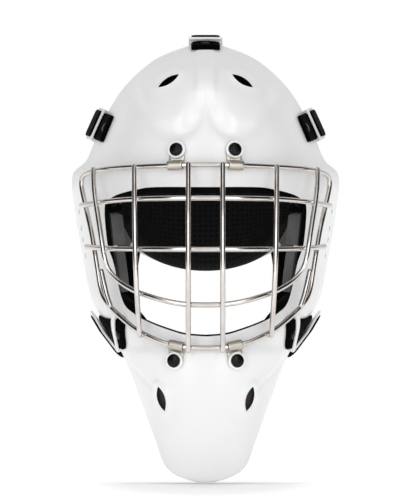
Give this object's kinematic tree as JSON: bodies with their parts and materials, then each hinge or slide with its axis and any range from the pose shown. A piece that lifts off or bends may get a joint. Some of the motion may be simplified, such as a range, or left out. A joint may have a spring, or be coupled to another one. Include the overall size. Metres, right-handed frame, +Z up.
{
  "type": "goalie mask",
  "caption": "Ice hockey goalie mask: rigid one-piece shell, welded wire cage on clips, foam padding, swinging chin cup and a strapped backplate that tilts open.",
  "frame": {"origin": "the middle of the wearer's head, level with the eyes, on the mask's middle plane", "axes": "+Z up, -Y the way the wearer looks, +X to the wearer's left"},
  "size_m": [0.236, 0.2742, 0.394],
  "materials": {
    "shell_white": "glossy clear-coated white composite",
    "cage_chrome": "polished plated steel wire",
    "clip_steel": "satin stainless sheet",
    "screw_black": "black oxide, slightly glossy",
    "washer_nylon": "white moulded nylon",
    "hardware_zinc": "zinc plated",
    "foam_black": "black foam, matt",
    "foam_grey": "mid-grey comfort foam, brushed face",
    "foam_textured": "black foam with a dimpled face",
    "webbing_black": "black woven webbing",
    "hook_plastic": "light grey moulded plastic",
    "cup_plastic": "black moulded plastic"
  },
  "bodies": {
    "shell": {"shell": "shell_white", "cage_perimeter": "cage_chrome", "cage_bar_upper": "cage_chrome", "cage_bar_middle": "cage_chrome", "cage_bar_lower": "cage_chrome", "cage_upright_inner_left": "cage_chrome", "cage_upright_outer_left": "cage_chrome", "cage_stub_left": "cage_chrome", "cage_upright_inner_right": "cage_chrome", "cage_upright_outer_right": "cage_chrome", "cage_stub_right": "cage_chrome", "cage_clip_top_left": "clip_steel", "cage_screw_top_left": "screw_black", "washer_top_left": "washer_nylon", "tee_nut_top_left": "hardware_zinc", "cage_clip_top_right": "clip_steel", "cage_screw_top_right": "screw_black", "washer_top_right": "washer_nylon", "tee_nut_top_right": "hardware_zinc", "cage_clip_bottom_left": "clip_steel", "cage_screw_bottom_left": "screw_black", "washer_bottom_left": "washer_nylon", "tee_nut_bottom_left": "hardware_zinc", "cage_clip_bottom_right": "clip_steel", "cage_screw_bottom_right": "screw_black", "washer_bottom_right": "washer_nylon", "tee_nut_bottom_right": "hardware_zinc", "forehead_pad": "foam_black", "crown_pad": "foam_black", "chin_pad": "foam_black", "temple_pad_left": "foam_black", "jaw_pad_left": "foam_black", "temple_strip_left": "foam_grey", "jaw_strip_left": "foam_grey", "chin_snap_left": "hardware_zinc", "temple_pad_right": "foam_black", "jaw_pad_right": "foam_black", "temple_strip_right": "foam_grey", "jaw_strip_right": "foam_grey", "chin_snap_right": "hardware_zinc", "hook_top": "hook_plastic", "webbing_loop_top": "webbing_black", "hook_upper_left": "hook_plastic", "webbing_loop_upper_left": "webbing_black", "hook_upper_right": "hook_plastic", "webbing_loop_upper_right": "webbing_black", "hook_lower_left": "hook_plastic", "webbing_loop_lower_left": "webbing_black", "hook_lower_right": "hook_plastic", "webbing_loop_lower_right": "webbing_black"},
    "backplate": {"backplate": "shell_white", "backplate_pad": "foam_textured", "strap_top": "webbing_black", "strap_upper_left": "webbing_black", "strap_upper_right": "webbing_black", "strap_lower_left": "webbing_black", "strap_lower_right": "webbing_black"},
    "chin_cup": {"chin_cup": "cup_plastic", "chin_strap_left": "webbing_black", "chin_strap_right": "webbing_black"}
  },
  "joints": [
    {"name": "backplate_tilt", "type": "hinge", "parent": "shell", "child": "backplate", "pos_m": [0, 0.0199, 0.1732], "axis": [1, 0, 0], "range_deg": [0, 25], "deforming": ["strap_top", "strap_upper_left", "strap_upper_right", "strap_lower_left", "strap_lower_right"]},
    {"name": "chin_cup_swing", "type": "hinge", "parent": "shell", "child": "chin_cup", "pos_m": [0, -0.0539, -0.0985], "axis": [1, 0, 0], "range_deg": [-20, 25], "deforming": ["chin_strap_left", "chin_strap_right"]}
  ]
}
